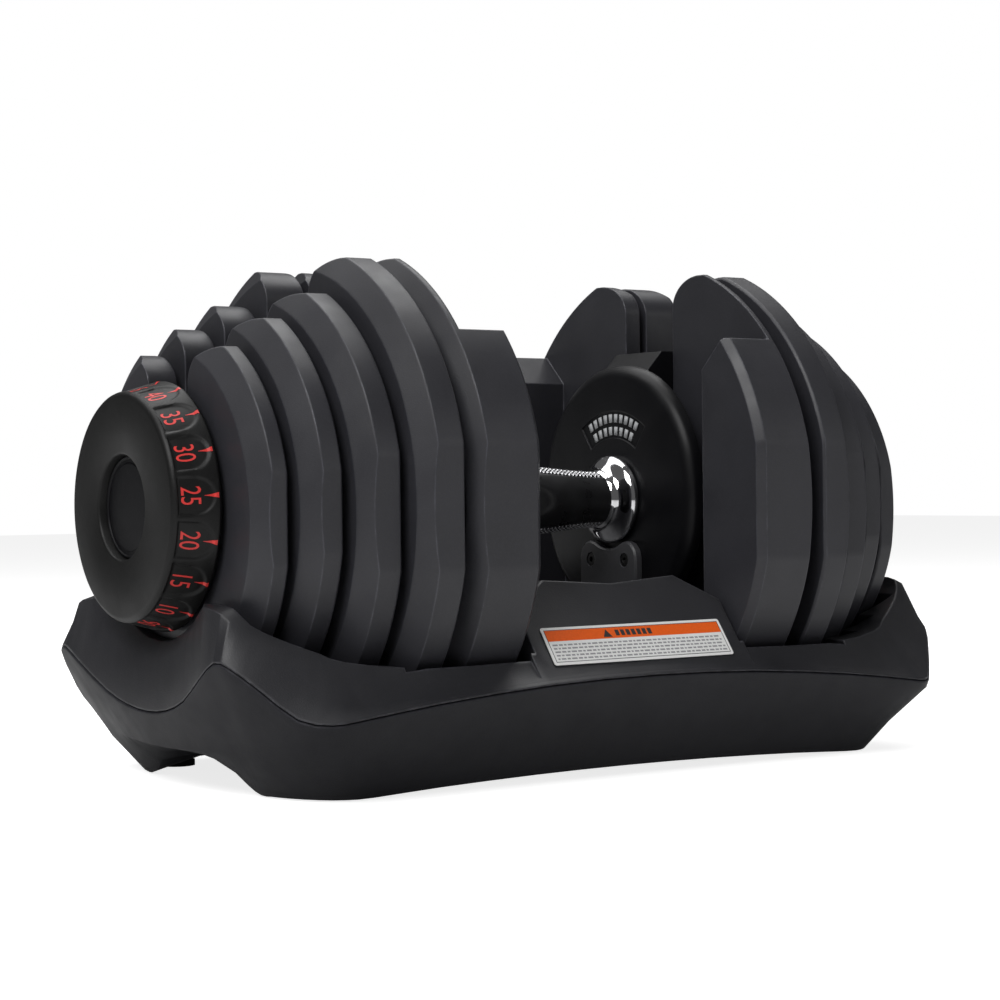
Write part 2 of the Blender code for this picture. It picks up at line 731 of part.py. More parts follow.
def lock_bracket(side):
    """The eared bracket under the collar, held by two countersunk screws."""
    half = [
        (0.0225, 0.0460), (0.0240, 0.0440), (0.0240, 0.0300), (0.0228, 0.0260), (0.0195, 0.0228),
        (0.0155, 0.0217), (0.0115, 0.0226), (0.0070, 0.0247), (0.0025, 0.0256),
    ]
    half = [(y, AXIS_Z - drop) for y, drop in half]
    x_front, x_back = GUARD_X - BRACKET_DEPTH, GUARD_X - GAP
    full = both_ways(half)
    levels = ((x_front, inset_outline(full, 0.0010)), (x_front + 0.001, full), (x_back, full))
    plate = loft("bracket", [[(side * x, y, z) for y, z in ring] for x, ring in levels])
    for y in (-SCREW_Y, SCREW_Y):
        cut(plate, prism_x("hole", circle_yz(y, SCREW_Z, 0.0021, 10), side * 0.060, side * 0.070))
        head = circle_yz(y, SCREW_Z, 0.0037, 12)
        cut(plate, prism_x("sink", head, side * 0.060, side * (x_front + 0.0026)))
    return plate


def bracket_screw(side, y):
    """A socket screw through the bracket into the guard."""
    x_front = GUARD_X - BRACKET_DEPTH
    circle = circle_yz(y, SCREW_Z, 0.0034, 12)
    head = prism_x("screw", circle, side * (x_front + 0.0004), side * (x_front + 0.0023))
    shank = circle_yz(y, SCREW_Z, 0.0018, 10)
    join(head, prism_x("shank", shank, side * (x_front + 0.0018), side * (GUARD_X + 0.0055)))
    socket = circle_yz(y, SCREW_Z, 0.0016, 6)
    return cut(head, prism_x("socket", socket, side * 0.055, side * (x_front + 0.0014)))


def centre_axle():
    """The steel rod through the whole handle, drilled at both ends for the bolts."""
    outline = circle_yz(0.0, AXIS_Z, AXLE_R, 16)
    rod = prism_x("axle", outline, -0.2058, 0.2058)
    for side in (-1, 1):
        hole = circle_yz(0.0, AXIS_Z, 0.0032, 12)
        cut(rod, prism_x("drill", hole, side * 0.1960, side * 0.2200))
    return rod


# ---------------------------------------------------------------- storage base

def rounder(quarter, first_signs, last_signs):
    """Add a point between each two of a quarter list, on a smooth curve through its neighbours."""
    before = tuple(s * v for s, v in zip(first_signs, quarter[1]))
    after = tuple(s * v for s, v in zip(last_signs, quarter[-2]))
    padded = [before, *quarter, after]
    fuller = []
    for k in range(1, len(padded) - 2):
        near = padded[k - 1:k + 3]
        fuller.append(near[1])
        fuller.append(tuple((9 * (b + c) - a - d) / 16 for a, b, c, d in zip(*near)))
    fuller.append(quarter[-1])
    return tuple(fuller)


SEAM = rounder(SEAM, (-1, 1, 1), (1, -1, 1))
ROOF = rounder(ROOF, (1, 1, -1, 1, 1), (1, 1, 1, -1, 1))
SKIRT = rounder(SKIRT, (1, 1, 1, 1), (1, 1, 1, 1))
CAP_TURN = 16            # seam point where the caps change from strips to one end face


def around(quarter):
    """Carry a quarter list of (x, y, ...) points round all four quarters, as one closed ring."""
    ring = list(quarter)
    ring += [(x, -y, *rest) for x, y, *rest in reversed(quarter[:-1])]
    ring += [(-x, -y, *rest) for x, y, *rest in quarter[1:]]
    ring += [(-x, y, *rest) for x, y, *rest in reversed(quarter[1:-1])]
    return ring


def ladder():
    """Caps for a ring that goes round all four quarters, as strips across it from front to rear."""
    last = len(SEAM) - 1
    faces = []
    for start, mirror in ((0, 2 * last), (2 * last, 4 * last)):
        for k in range(CAP_TURN):
            corners = (start + k, start + k + 1, mirror - k - 1, mirror - k)
            faces.append(tuple(c % (4 * last) for c in corners))
        end_run = range(CAP_TURN, 2 * last - CAP_TURN + 1)
        faces.append(tuple((start + k) % (4 * last) for k in end_run))
    return faces


def seam_ring(insets, heights):
    """A ring drawn in from the seam by a distance at each point."""
    quarter = []
    for (x, y, *_), inset, z in zip(SEAM, insets, heights):
        quarter.append((x * (1 - inset / SEAM_X), y * (1 - inset / SEAM_Y), z))
    return around(quarter)


def roof_ring(inset, drop):
    """The edge of the tray's roof, drawn in and lowered."""
    quarter = []
    for _, _, x, y, z in ROOF:
        quarter.append((x * (1 - inset / ROOF_X), y * (1 - inset / ROOF_Y), z - drop))
    return around(quarter)


def tray_outside():
    """The tray as one block: upper body and the narrower part that hangs inside the shell."""
    count = len(SEAM)
    seam_z = [row[2] + GAP for row in SEAM]
    rings = [
        seam_ring([0.0280] * count, [0.0190] * count),
        seam_ring([0.0040] * count, seam_z),
        seam_ring([0.0003] * count, seam_z),
        seam_ring([row[0] for row in ROOF], [row[1] for row in ROOF]),
        roof_ring(0.0, 0.0),
    ]
    return loft("tray", rings, cap=ladder())


def tray_hollow():
    """The room under the tray's skin."""
    count = len(SEAM)
    rings = [
        seam_ring([0.0240] * count, [0.0100] * count),
        seam_ring([0.0034] * count, [row[2] - 0.0010 for row in SEAM]),
        seam_ring([0.0034] * count, [row[2] + 0.0014 for row in SEAM]),
        seam_ring([row[0] + WALL for row in ROOF], [row[1] - WALL for row in ROOF]),
        roof_ring(0.4 * WALL, 1.15 * WALL),
    ]
    return loft("hollow", rings, cap=ladder())


def hump(inset, low_z):
    """The saddle between the two sets of wells, with a trough for the fingers."""
    foot_y, foot_z = HUMP_FOOT
    reach = WELL_IN_X + 0.0025
    ends = ((reach - inset, 0.0796), (0.0390 - inset, 0.0932))
    ridge = [(-x, z) for x, z in ends] + [(0.0, 0.0905)] + list(reversed(ends))
    rings = []
    for x, top_z in ridge:
        ridge_z = top_z - inset
        ridge_y = foot_y - (ridge_z - foot_z) / HUMP_SLOPE - 1.25 * inset
        base_y = foot_y - (low_z - foot_z) / HUMP_SLOPE - 1.25 * inset
        half = [
            (base_y, low_z), (ridge_y, ridge_z), (ridge_y - 0.008, ridge_z - 0.0008),
            (ridge_y - 0.034, 0.0740 - inset), (0.020, 0.0700 - inset),
        ]
        rings.append([(x, y, z) for y, z in both_ways(half)])
    return loft("hump", rings)


def well(side, grow, top_z=0.120):
    """The stepped opening for one set of plates, narrowing downwards."""
    blocks = []
    start = WELL_IN_X
    taper = LOWER_SLOPE * 0.98
    for k, (far_x, half_y, floor_z) in enumerate(WELLS):
        near_x = start - grow if k == 0 else start + grow - 0.004
        edge_z = 0.0570 + 0.70 * (0.108 - half_y)
        low_y = half_y + grow - taper * (edge_z - floor_z)
        rim_y = half_y + grow
        rings = []
        for z, y in ((floor_z - grow - GAP, low_y), (edge_z, rim_y), (top_z, rim_y)):
            rings.append([
                (side * near_x, -y, z), (side * (far_x + grow), -y, z),
                (side * (far_x + grow), y, z), (side * near_x, y, z),
            ])
        blocks.append(loft("well", rings))
        start = far_x
    first = blocks[0]
    for other in blocks[1:]:
        join(first, other)
    return first


def scoop(side, grow):
    """The cone of room under a dial."""
    profile = (
        (0.1900, SCOOP_R), (0.1960, SCOOP_R + 0.0010),
        (0.2080, SCOOP_END_R), (0.2300, SCOOP_END_R + 0.0120),
    )
    rings = []
    for x, radius in profile:
        rings.append([(side * x, y, z) for y, z in circle_yz(0.0, AXIS_Z, radius + grow, 32)])
    return loft("scoop", rings)


def base_tray():
    """The upper moulding of the base: skin, wells, saddle, dial scoops and lock release posts."""
    tray = tray_outside()
    join(tray, hump(0.0, 0.0495))
    hollow = tray_hollow()
    join(hollow, hump(WALL, 0.0475))
    for side in (-1, 1):
        cut(hollow, well(side, WALL))
        cut(hollow, scoop(side, WALL))
    cut(tray, hollow)
    for side in (-1, 1):
        cut(tray, well(side, 0.0))
        cut(tray, scoop(side, 0.0))
        post_x = (side * (GUARD_BACK_X + 0.0008), side * (POCKET_X - 0.0008))
        join(tray, box("post", post_x, (-0.006, 0.006), (0.0225, GATE_LOW_Z - 0.0004)))
    return tray


def base_shell():
    """The lower moulding: an open tub whose wall leans in to four corner feet."""
    count = len(SEAM)
    seam_z = [row[2] for row in SEAM]
    outer = [
        seam_ring([row[2] for row in SKIRT], [row[3] for row in SKIRT]),
        seam_ring([row[0] for row in SKIRT], [row[1] for row in SKIRT]),
        seam_ring([0.0010] * count, [z - 0.0045 for z in seam_z]),
        seam_ring([0.0] * count, [z - 0.0008 for z in seam_z]),
        seam_ring([0.0008] * count, seam_z),
    ]
    inner = [
        seam_ring([0.0030] * count, seam_z),
        seam_ring([0.0040] * count, [z - 0.0045 for z in seam_z]),
        seam_ring([row[0] + 0.0030 for row in SKIRT], [row[1] + 0.0010 for row in SKIRT]),
        seam_ring([row[2] + 0.0030 for row in SKIRT], [row[3] + 0.0050 for row in SKIRT]),
    ]
    floor_in = [(x * 0.80, y * 0.72, 0.0160) for x, y, _ in inner[-1]]
    floor_out = [(x * 0.80, y * 0.72, 0.0132) for x, y, _ in outer[0]]
    rings = [floor_out] + outer + inner + [floor_in]
    shell = loft("shell", rings, cap=ladder())
    for sx in (-1, 1):
        for sy in (-1, 1):
            cut(shell, cylinder_z("seat", (sx * FOOT_X, sy * FOOT_Y), 0.0093, -0.01, 0.0031, 20))
    return shell


def foot_pad(sx, sy):
    """A rubber pad in its seat under one corner."""
    return cylinder_z("pad", (sx * FOOT_X, sy * FOOT_Y), 0.0090, 0.0, 0.0028, 20)


def warning_label():
    """The plain label on the front slope of the saddle."""
    foot_y, foot_z = HUMP_FOOT
    along = Vector((0.0, 1.0, HUMP_SLOPE)).normalized()
    out = Vector((0.0, -HUMP_SLOPE, 1.0)).normalized()
    start = Vector((0.0, -foot_y, foot_z)) + 0.0015 * along
    rings = []
    for depth in (0.0003, 0.0008):
        ring = []
        for x, run in ((-LABEL_HALF, 0.0), (LABEL_HALF, 0.0), (LABEL_HALF, 0.0205), (-LABEL_HALF, 0.0205)):
            ring.append(Vector((x, 0, 0)) + start + run * along + depth * out)
        rings.append(ring)
    return loft("label", rings)


# ---------------------------------------------------------------- assembly

def build():
    """Clear the scene and make every piece in its place."""
    for obj in list(bpy.data.objects):
        bpy.data.objects.remove(obj)
    pivot("handle_lift", (0.0, 0.0, AXIS_Z))
    for tag, side in (("left", -1), ("right", 1)):
        pivot(tag + "_dial_turn", (side * 0.150, 0.0, AXIS_Z))
        pivot(tag + "_lock_slide_travel", (side * 0.0784, 0.0, GATE_LOW_Z))

    finish(base_tray(), "base_tray", "tray_plastic", None, 32)
    finish(base_shell(), "base_shell", "shell_plastic", None, 32)
    finish(warning_label(), "warning_label", "label_vinyl")
    for end, sx in (("left", -1), ("right", 1)):
        for face, sy in (("front", -1), ("rear", 1)):
            finish(foot_pad(sx, sy), f"foot_{end}_{face}", "foot_rubber", None, 40)

    lift = "handle_lift"
    finish(centre_axle(), "centre_axle", "steel", lift, 40)
    finish(grip_core(), "grip_core", "chrome", lift, 40)
    finish(grip_rubber(1), "grip_rubber_front", "grip_rubber", lift, 40)
    finish(grip_rubber(-1), "grip_rubber_rear", "grip_rubber", lift, 40)
    for tag, side in (("left", -1), ("right", 1)):
        finish(collar(side), tag + "_collar", "chrome", lift, 40)
        finish(guard(side), tag + "_guard", "guard_plastic", lift, 32)
        finish(lock_bracket(side), tag + "_lock_bracket", "zinc", lift, 32)
        for face, y in (("front", -SCREW_Y), ("rear", SCREW_Y)):
            finish(bracket_screw(side, y), f"{tag}_bracket_screw_{face}", "steel", lift, 40)
        finish(spring(side), tag + "_lock_spring", "steel", lift, 60)
        finish(axle_bolt(side), tag + "_axle_bolt", "steel", lift, 40)
        finish(lock_slide(side), tag + "_lock_slide", "zinc", tag + "_lock_slide_travel", 32)
        turn = tag + "_dial_turn"
        finish(spindle(side), tag + "_spindle", "steel", turn, 40)
        finish(lock_wheel(side), tag + "_lock_wheel", "steel", turn, 20)
        finish(dial_knob(side), tag + "_dial", "dial_plastic", turn, 32)
        finish(dial_cap(side), tag + "_dial_cap", "cap_plastic", turn, 32)
        for index in range(len(PLATES)):
            number = index + 1
            finish(selector_disc(index, side), f"{tag}_disc_{number}", "disc_nylon", turn, 32)
            name = f"{tag}_plate_{number}"
            pivot(name + "_lift", (side * PLATES[index][0], 0.0, AXIS_Z))
            finish(weight_plate(index, side), name, "plate_coat", name + "_lift", 24)


build()
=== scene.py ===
"""Look of the adjustable dumbbell in its storage base: finished pieces, materials, light and camera."""

import math

import bmesh
import bpy
from mathutils import Matrix, Vector

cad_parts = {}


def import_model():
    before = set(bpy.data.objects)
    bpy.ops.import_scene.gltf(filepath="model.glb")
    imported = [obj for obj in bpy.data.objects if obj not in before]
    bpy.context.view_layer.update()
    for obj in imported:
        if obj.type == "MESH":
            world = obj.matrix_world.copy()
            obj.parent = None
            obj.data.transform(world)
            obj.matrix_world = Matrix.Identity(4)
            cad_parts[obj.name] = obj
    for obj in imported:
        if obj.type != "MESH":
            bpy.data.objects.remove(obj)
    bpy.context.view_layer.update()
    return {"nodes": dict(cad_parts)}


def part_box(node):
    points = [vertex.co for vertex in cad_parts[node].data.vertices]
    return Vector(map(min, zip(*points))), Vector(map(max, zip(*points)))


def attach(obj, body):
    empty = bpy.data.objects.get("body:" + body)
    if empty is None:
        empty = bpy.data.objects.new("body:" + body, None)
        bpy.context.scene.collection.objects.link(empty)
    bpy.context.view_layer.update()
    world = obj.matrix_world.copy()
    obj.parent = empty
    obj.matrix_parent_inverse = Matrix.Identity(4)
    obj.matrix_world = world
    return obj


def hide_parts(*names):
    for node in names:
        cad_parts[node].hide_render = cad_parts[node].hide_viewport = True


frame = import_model()

AXIS_Z = 0.1300          # height of the handle axis
SIDES = (("left", -1.0), ("right", 1.0))
SETTINGS = 17
REST_SETTING = 7
STEP = math.tau / SETTINGS

# Arc centre z and upper end of the side flat, outermost plate first
PLATE_ARCS = ((0.1245, 0.1450), (0.1274, 0.1450), (0.1264, 0.1520), (0.1290, 0.1570), (0.1290, 0.1570))
TAB_OUT = 0.0023
CONE_WIDE = 0.0105       # how far the conical bevel reaches in from the rim
CONE_DEEP = 0.0068
SLOT_HALF = 0.0200
LIP_WIDE = 0.0215        # elliptical rounding where a slot opens
LIP_HIGH = 0.0165
ROD_BORE = 0.0053        # bore for the rod in grip and collars
SCREW_HOLE_R = 0.0021


# ---------------------------------------------------------------- node helpers

class Graph:
    """Short calls for wiring one material's nodes."""

    def __init__(self, name, colour, roughness, metallic=0.0):
        self.mat = bpy.data.materials.new(name)
        self.mat.use_nodes = True
        self.tree = self.mat.node_tree
        self.shader = self.tree.nodes["Principled BSDF"]
        self.colour = colour
        self.shader.inputs["Base Color"].default_value = (*colour, 1.0)
        self.shader.inputs["Roughness"].default_value = roughness
        self.shader.inputs["Metallic"].default_value = metallic
        self.place = self.node("ShaderNodeTexCoord").outputs["Object"]

    def node(self, kind, **settings):
        made = self.tree.nodes.new(kind)
        for key, value in settings.items():
            setattr(made, key, value)
        return made

    def link(self, source, target):
        self.tree.links.new(source, target)

    def noise(self, scale, detail=3.0, rough=0.5, stretch=None):
        """Noise in object space; scale is in features per metre."""
        place = self.place
        if stretch:
            mapping = self.node("ShaderNodeMapping")
            mapping.inputs["Scale"].default_value = stretch
            self.link(place, mapping.inputs["Vector"])
            place = mapping.outputs["Vector"]
        made = self.node("ShaderNodeTexNoise")
        made.inputs["Scale"].default_value = scale
        made.inputs["Detail"].default_value = detail
        made.inputs["Roughness"].default_value = rough
        self.link(place, made.inputs["Vector"])
        return made.outputs["Fac"]

    def cells(self, scale):
        """Pebbled cells, for moulded grain."""
        made = self.node("ShaderNodeTexVoronoi")
        made.inputs["Scale"].default_value = scale
        self.link(self.place, made.inputs["Vector"])
        return made.outputs["Distance"]

    def spread(self, source, low, high, from_low=0.3, from_high=0.7):
        """Map a value to another range."""
        made = self.node("ShaderNodeMapRange")
        made.inputs["From Min"].default_value = from_low
        made.inputs["From Max"].default_value = from_high
        made.inputs["To Min"].default_value = low
        made.inputs["To Max"].default_value = high
        self.link(source, made.inputs["Value"])
        return made.outputs["Result"]

    def maths(self, operation, first, second):
        made = self.node("ShaderNodeMath", operation=operation)
        for socket, value in zip(made.inputs, (first, second)):
            if isinstance(value, float):
                socket.default_value = value
            else:
                self.link(value, socket)
        return made.outputs["Value"]

    def blend(self, amount, first, second):
        """Mix two colours, given as sockets or tuples."""
        made = self.node("ShaderNodeMix", data_type="RGBA")
        self.link(amount, made.inputs["Factor"])
        for key, value in (("A", first), ("B", second)):
            socket = [s for s in made.inputs if s.name == key and s.type == "RGBA"][0]
            if isinstance(value, tuple):
                socket.default_value = (*value, 1.0)
            else:
                self.link(value, socket)
        return [s for s in made.outputs if s.type == "RGBA"][0]

    def bump(self, height, distance, strength=1.0, under=None):
        made = self.node("ShaderNodeBump")
        made.inputs["Strength"].default_value = strength
        made.inputs["Distance"].default_value = distance
        self.link(height, made.inputs["Height"])
        if under:
            self.link(under, made.inputs["Normal"])
        return made.outputs["Normal"]

    def soft_edges(self, radius):
        """Normals rounded over at edges, and a mask that is 1 along them."""
        bevel = self.node("ShaderNodeBevel", samples=6)
        bevel.inputs["Radius"].default_value = radius
        true = self.node("ShaderNodeNewGeometry").outputs["Normal"]
        dot = self.node("ShaderNodeVectorMath", operation="DOT_PRODUCT")
        self.link(bevel.outputs["Normal"], dot.inputs[0])
        self.link(true, dot.inputs[1])
        return bevel.outputs["Normal"], self.spread(dot.outputs["Value"], 1.0, 0.0, 0.80, 0.985)


def tinted(colour, factor):
    return tuple(min(1.0, c * factor) for c in colour)


def moulded(name, colour, roughness, grain=1500.0, depth=0.00004, edge=0.0007, wear_and_edge_light=0.5, sheen=0.5):
    """Moulded plastic or powder coat: fine grain, faint cloudiness, and edges lightened in patches (partly
    wear, partly painted highlight) and polished.
    """
    g = Graph(name, colour, roughness)
    cloud = g.noise(22.0, 4.0, 0.55)
    fine = g.noise(1100.0, 2.0, 0.6)
    base = g.blend(g.spread(cloud, 0.0, 1.0), tinted(colour, 0.86), tinted(colour, 1.14))
    base = g.blend(g.spread(fine, 0.0, 0.22, 0.45, 0.8), base, tinted(colour, 1.9))
    rounded, mask = g.soft_edges(edge)
    scuff_and_glint_patches = g.spread(g.noise(260.0, 4.0, 0.6, (1.0, 1.0, 0.35)), 0.25, 1.0, 0.42, 0.62)
    worn_and_lit_edge = g.maths("MULTIPLY", g.maths("MULTIPLY", mask, scuff_and_glint_patches), wear_and_edge_light)
    # Edges lightened to five times the colour in patches: painted highlight standing in for edge glints,
    # partly real wear.
    base = g.blend(worn_and_lit_edge, base, tinted(colour, 5.0))
    g.link(base, g.shader.inputs["Base Color"])
    patch = g.spread(g.noise(60.0, 3.0), roughness - 0.05, roughness + 0.06)
    polished = g.maths("MULTIPLY", worn_and_lit_edge, 0.18)
    g.link(g.maths("SUBTRACT", patch, polished), g.shader.inputs["Roughness"])
    pebble = g.bump(g.cells(grain), depth, 0.6, rounded)
    wave = g.bump(g.noise(14.0, 1.0), 0.0006, 0.35, pebble)
    g.link(wave, g.shader.inputs["Normal"])
    g.shader.inputs["Specular IOR Level"].default_value = sheen
    return g.mat


def metal(name, colour, roughness, brush=(1.0, 1.0, 1.0), scale=500.0, depth=0.00001):
    """Metal with turning or brushing marks and uneven polish."""
    g = Graph(name, colour, roughness, 1.0)
    marks = g.noise(scale, 4.0, 0.6, brush)
    smear = g.noise(40.0, 3.0)
    base = g.blend(g.spread(smear, 0.0, 1.0), tinted(colour, 0.90), tinted(colour, 1.04))
    g.link(base, g.shader.inputs["Base Color"])
    g.link(g.spread(smear, max(0.02, roughness - 0.04), roughness + 0.07), g.shader.inputs["Roughness"])
    rounded, _ = g.soft_edges(0.0003)
    g.link(g.bump(marks, depth, 0.5, rounded), g.shader.inputs["Normal"])
    return g.mat


def rubber(name, colour, roughness):
    """Dark rubber with a skin of fine pores and paler rubbed patches."""
    g = Graph(name, colour, roughness)
    smear = g.noise(70.0, 4.0, 0.6)
    base = g.blend(g.spread(smear, 0.0, 1.0), tinted(colour, 0.8), tinted(colour, 1.5))
    g.link(base, g.shader.inputs["Base Color"])
    g.link(g.spread(smear, roughness - 0.07, roughness + 0.10), g.shader.inputs["Roughness"])
    g.link(g.bump(g.noise(2200.0, 2.0), 0.00003, 0.5), g.shader.inputs["Normal"])
    return g.mat


def printed(name, colour, roughness, mottle=0.06):
    """Printing ink or vinyl film: faint mottling and a slightly uneven gloss."""
    g = Graph(name, colour, roughness)
    fleck = g.noise(900.0, 3.0, 0.6)
    base = g.blend(g.spread(fleck, 0.0, 1.0), tinted(colour, 1.0 - mottle), tinted(colour, 1.0 + mottle))
    g.link(base, g.shader.inputs["Base Color"])
    g.link(g.spread(g.noise(120.0), roughness - 0.05, roughness + 0.08), g.shader.inputs["Roughness"])
    g.link(g.bump(fleck, 0.00001, 0.4), g.shader.inputs["Normal"])
    return g.mat


# For moulded looks the eighth value sets how strongly edges get the painted highlight and wear.
LOOKS = {
    "tray": moulded("tray_plastic", (0.018, 0.018, 0.021), 0.44, 1300.0, 0.00006, 0.0015, 0.85, 0.45),
    "shell": moulded("shell_plastic", (0.009, 0.009, 0.012), 0.52, 1300.0, 0.00006, 0.0014, 0.70, 0.32),
    "plate": moulded("plate_coat", (0.026, 0.026, 0.031), 0.42, 1700.0, 0.00004, 0.0013, 1.0, 0.5),
    "dial": moulded("dial_plastic", (0.006, 0.006, 0.006), 0.42, 1500.0, 0.00005, 0.0008, 0.5, 0.28),
    "cap": moulded("cap_plastic", (0.003, 0.003, 0.004), 0.45, 1500.0, 0.00003, 0.0005, 0.3, 0.18),
    "guard": moulded("guard_plastic", (0.004, 0.004, 0.005), 0.40, 1500.0, 0.00003, 0.0010, 0.6, 0.22),
    "nylon": moulded("disc_nylon", (0.040, 0.040, 0.044), 0.48, 1500.0, 0.00004, 0.0003, 0.3),
    "zinc": moulded("bracket_coat", (0.055, 0.055, 0.060), 0.45, 1800.0, 0.00003, 0.0005, 0.6),
    "chrome": metal("chrome", (0.82, 0.82, 0.84), 0.07, (1.0, 1.0, 1.0), 300.0, 0.000004),
    "steel": metal("turned_steel", (0.50, 0.51, 0.52), 0.30, (0.1, 1.0, 1.0), 900.0, 0.00002),
    "dark_steel": metal("blackened_steel", (0.05, 0.05, 0.05), 0.36, (1.0, 1.0, 1.0), 900.0, 0.00002),
    "grip_rubber": rubber("grip_rubber", (0.012, 0.012, 0.013), 0.30),
    "foot_rubber": rubber("foot_rubber", (0.020, 0.020, 0.020), 0.80),
    "vinyl": printed("label_vinyl", (0.80, 0.80, 0.79), 0.38, 0.03),
    "orange": printed("label_orange", (0.82, 0.115, 0.008), 0.38),
    "ink": printed("label_ink", (0.03, 0.03, 0.03), 0.45),
    "grey_ink": printed("label_grey_ink", (0.30, 0.30, 0.31), 0.45),
    "red_ink": printed("dial_red_ink", (0.72, 0.040, 0.035), 0.42),
    "pale_ink": printed("panel_ink", (0.42, 0.43, 0.44), 0.50),
}


# ---------------------------------------------------------------- mesh helpers

def shade(obj, angle):
    """Smooth shading with creases where faces meet more sharply than the angle."""
    for polygon in obj.data.polygons:
        polygon.use_smooth = True
    obj.data.set_sharp_from_angle(angle=math.radians(angle))


def mesh_object(name, verts, faces, angle=30.0):
    """A mesh object with welded corners and outward normals."""
    mesh = bpy.data.meshes.new(name)
    mesh.from_pydata([tuple(v) for v in verts], [], faces)
    work = bmesh.new()
    work.from_mesh(mesh)
    bmesh.ops.remove_doubles(work, verts=work.verts, dist=1e-6)
    bmesh.ops.recalc_face_normals(work, faces=work.faces)
    work.to_mesh(mesh)
    work.free()
    obj = bpy.data.objects.new(name, mesh)
    bpy.context.scene.collection.objects.link(obj)
    shade(obj, angle)
    return obj


def loft(name, rings, closed=False, angle=30.0):
    """Skin through rings of equal length, capped unless the loft closes on itself."""
    count = len(rings[0])
    verts = [point for ring in rings for point in ring]
    faces = []
    for row in range(len(rings) if closed else len(rings) - 1):
        below, above = row * count, ((row + 1) % len(rings)) * count
        for k in range(count):
            after = (k + 1) % count
            faces.append((below + k, below + after, above + after, above + k))
    if not closed:
        faces.append(tuple(range(count)))
        faces.append(tuple(range(len(verts) - count, len(verts))))
    return mesh_object(name, verts, faces, angle)


def around(x, radius, turn):
    """A point round the handle axis, with the turn counted from the top."""
    return (x, -radius * math.sin(turn), AXIS_Z + radius * math.cos(turn))


def disc_outline(y, z, radius, count):
    """A round outline in (y, z)."""
    turns = [math.tau * k / count for k in range(count)]
    return [(y + radius * math.cos(t), z + radius * math.sin(t)) for t in turns]


def revolve(name, profile, segments, side=1.0, angle=30.0):
    """A closed profile of (x, radius) turned round the handle axis."""
    rings = []
    for k in range(segments):
        turn = math.tau * k / segments
        rings.append([around(side * x, r, turn) for x, r in profile])
    return loft(name, rings, True, angle)


def prism_x(name, outline, x_low, x_high):
    """An outline of (y, z) swept along X."""
    return loft(name, [[(x, y, z) for y, z in outline] for x in (x_low, x_high)])


def both_ways(half):
    """A closed outline from its +Y half."""
    return list(half) + [(-y, z) for y, z in reversed(half)]


def combine(target, other, operation):
    """Apply one exact Boolean and drop the second shape."""
    modifier = target.modifiers.new("combine", "BOOLEAN")
    modifier.operation = operation
    modifier.solver = "EXACT"
    modifier.object = other
    bpy.context.view_layer.update()
    graph = bpy.context.evaluated_depsgraph_get()
    result = bpy.data.meshes.new_from_object(target.evaluated_get(graph))
    target.modifiers.clear()
    target.data = result
    bpy.data.objects.remove(other)


def mirrored(obj, name):
    """A copy on the other side of the middle."""
    work = bmesh.new()
    work.from_mesh(obj.data)
    for vert in work.verts:
        vert.co.x = -vert.co.x
    bmesh.ops.reverse_faces(work, faces=work.faces)
    mesh = bpy.data.meshes.new(name)
    work.to_mesh(mesh)
    work.free()
    twin = bpy.data.objects.new(name, mesh)
    bpy.context.scene.collection.objects.link(twin)
    return twin


def give(obj, body, look, *nodes, angle=None):
    """Dress a piece, let it ride on its body and stand for its CAD nodes."""
    obj.data.materials.clear()
    obj.data.materials.append(LOOKS[look])
    if angle:
        shade(obj, angle)
    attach(obj, body)
    if nodes:
        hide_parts(*nodes)
    return obj


# ---------------------------------------------------------------- weight plates

def plate_facts(index):
    """Inner and outer face, half width, ear top, bottom, arc centre and arc radius of one plate."""
    low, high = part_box(f"right_plate_{index + 1}")
    centre_z, flat_z = PLATE_ARCS[index]
    half = high.y
    return low.x, high.x - TAB_OUT, half, high.z, low.z, centre_z, math.hypot(half, flat_z - centre_z)


def plate_reach(turn, facts, inset=0.0):
    """Distance from the arc centre to the plate's outline in one direction."""
    _, _, half, ear_z, low_z, centre_z, radius = facts
    across, up = abs(math.cos(turn)), math.sin(turn)
    reach = radius - inset
    if across > 1e-6:
        reach = min(reach, (half - inset) / across)
    if up > 1e-6:
        reach = min(reach, (ear_z - inset - centre_z) / up)
    if up < -1e-6:
        reach = min(reach, (low_z + inset - centre_z) / up)
    return reach


def plate_turns(facts):
    """Directions in which the outline is drawn, every corner among them."""
    _, _, half, ear_z, low_z, centre_z, radius = facts
    corners = [math.acos(min(1.0, half / radius))]
    corners.append(math.asin((ear_z - centre_z) / radius))
    lower = math.asin((centre_z - low_z) / radius)
    turns = {round(math.tau * k / 180, 7) for k in range(180)}
    for corner in corners:
        turns |= {round(t % math.tau, 7) for t in (corner, math.pi - corner)}
    for corner in (corners[0], lower):
        turns |= {round(t % math.tau, 7) for t in (-corner, math.pi + corner)}
    ordered = sorted(turns)
    return [t for k, t in enumerate(ordered) if k == 0 or t - ordered[k - 1] > 0.004]


